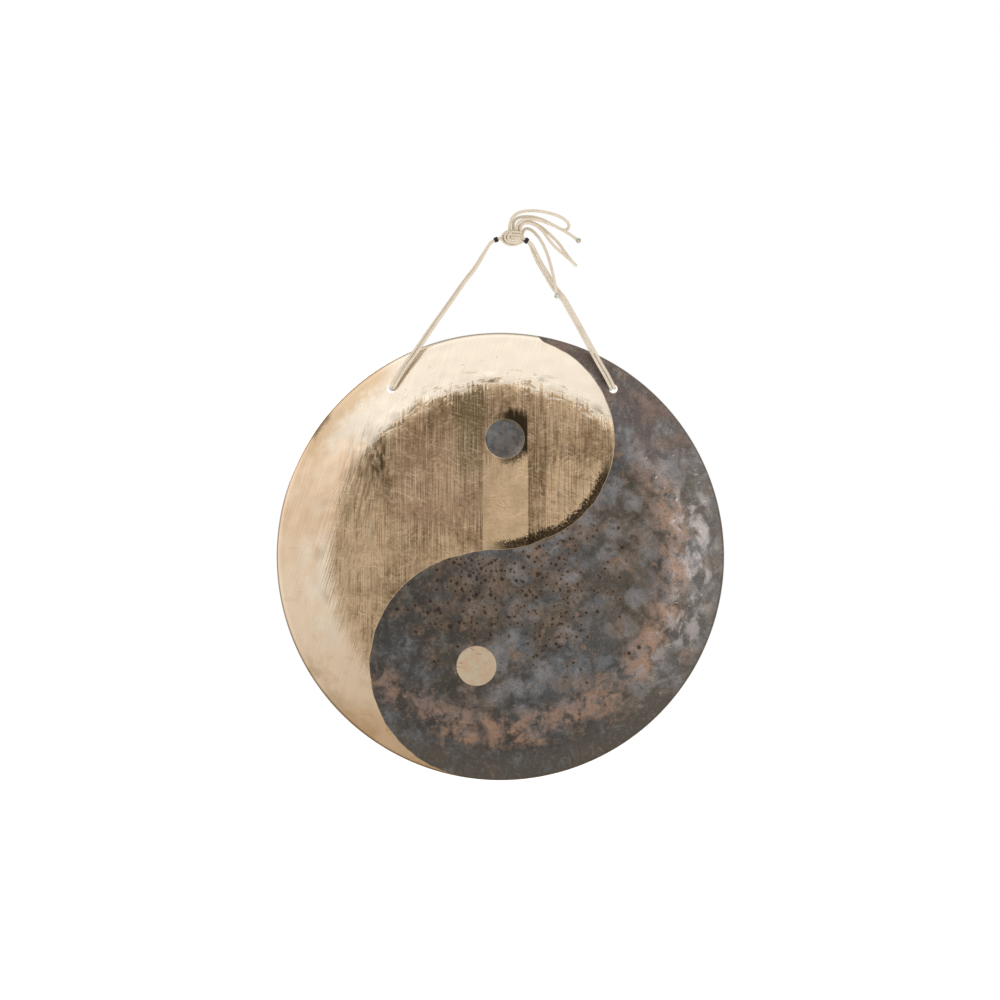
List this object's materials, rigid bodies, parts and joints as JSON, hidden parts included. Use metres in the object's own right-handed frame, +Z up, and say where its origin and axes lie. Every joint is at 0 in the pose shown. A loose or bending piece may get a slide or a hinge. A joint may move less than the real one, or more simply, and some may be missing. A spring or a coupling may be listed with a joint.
{
  "type": "tam tam gong",
  "caption": "Flat hammered bronze gong with a turned-back rim, part bright and part dark along a curve, hung on a doubled cord that is knotted above it and passes through holes near its edge.",
  "frame": {"origin": "underside of the hanging knot, where a hook or peg bears inside the cord loop", "axes": "+Z up from the gong to the knot, -Y out of the struck face, +X to the right as the struck face is seen"},
  "size_m": [0.5, 0.0232, 0.6364],
  "materials": {
    "bronze": "hammered and brushed, half of it heat-darkened",
    "cord": "braided cream cord",
    "black_thread": "tightly wound black thread",
    "melted_end": "melted cord, grey-green and half glossy"
  },
  "bodies": {
    "hanger": {"hanging_knot": "cord", "thread_binding_left": "black_thread", "thread_binding_right": "black_thread", "cord_top_left_1": "cord", "cord_top_left_2": "cord", "cord_top_right_1": "cord", "cord_top_right_2": "cord", "tail_loop_upper": "cord", "tail_loop_lower": "cord", "tail_end_upper": "cord", "tail_end_lower_top": "cord", "tail_bead_upper": "melted_end"},
    "cord_legs": {"cord_leg_left_1": "cord", "cord_leg_left_2": "cord", "cord_leg_right_1": "cord", "cord_leg_right_2": "cord", "tail_end_lower_hang": "cord", "tail_bead_lower": "melted_end"},
    "disc": {"gong_disc": "bronze", "cord_back_1": "cord", "cord_back_2": "cord"}
  },
  "joints": [
    {"name": "cord_swing", "type": "hinge", "parent": "hanger", "child": "cord_legs", "pos_m": [0, 0, 0.006], "axis": [1, 0, 0], "range_deg": [-30, 30]},
    {"name": "disc_tilt", "type": "hinge", "parent": "cord_legs", "child": "disc", "pos_m": [-0.0115, 0, -0.156], "axis": [-1, 0, 0], "range_deg": [-8, 35]}
  ]
}
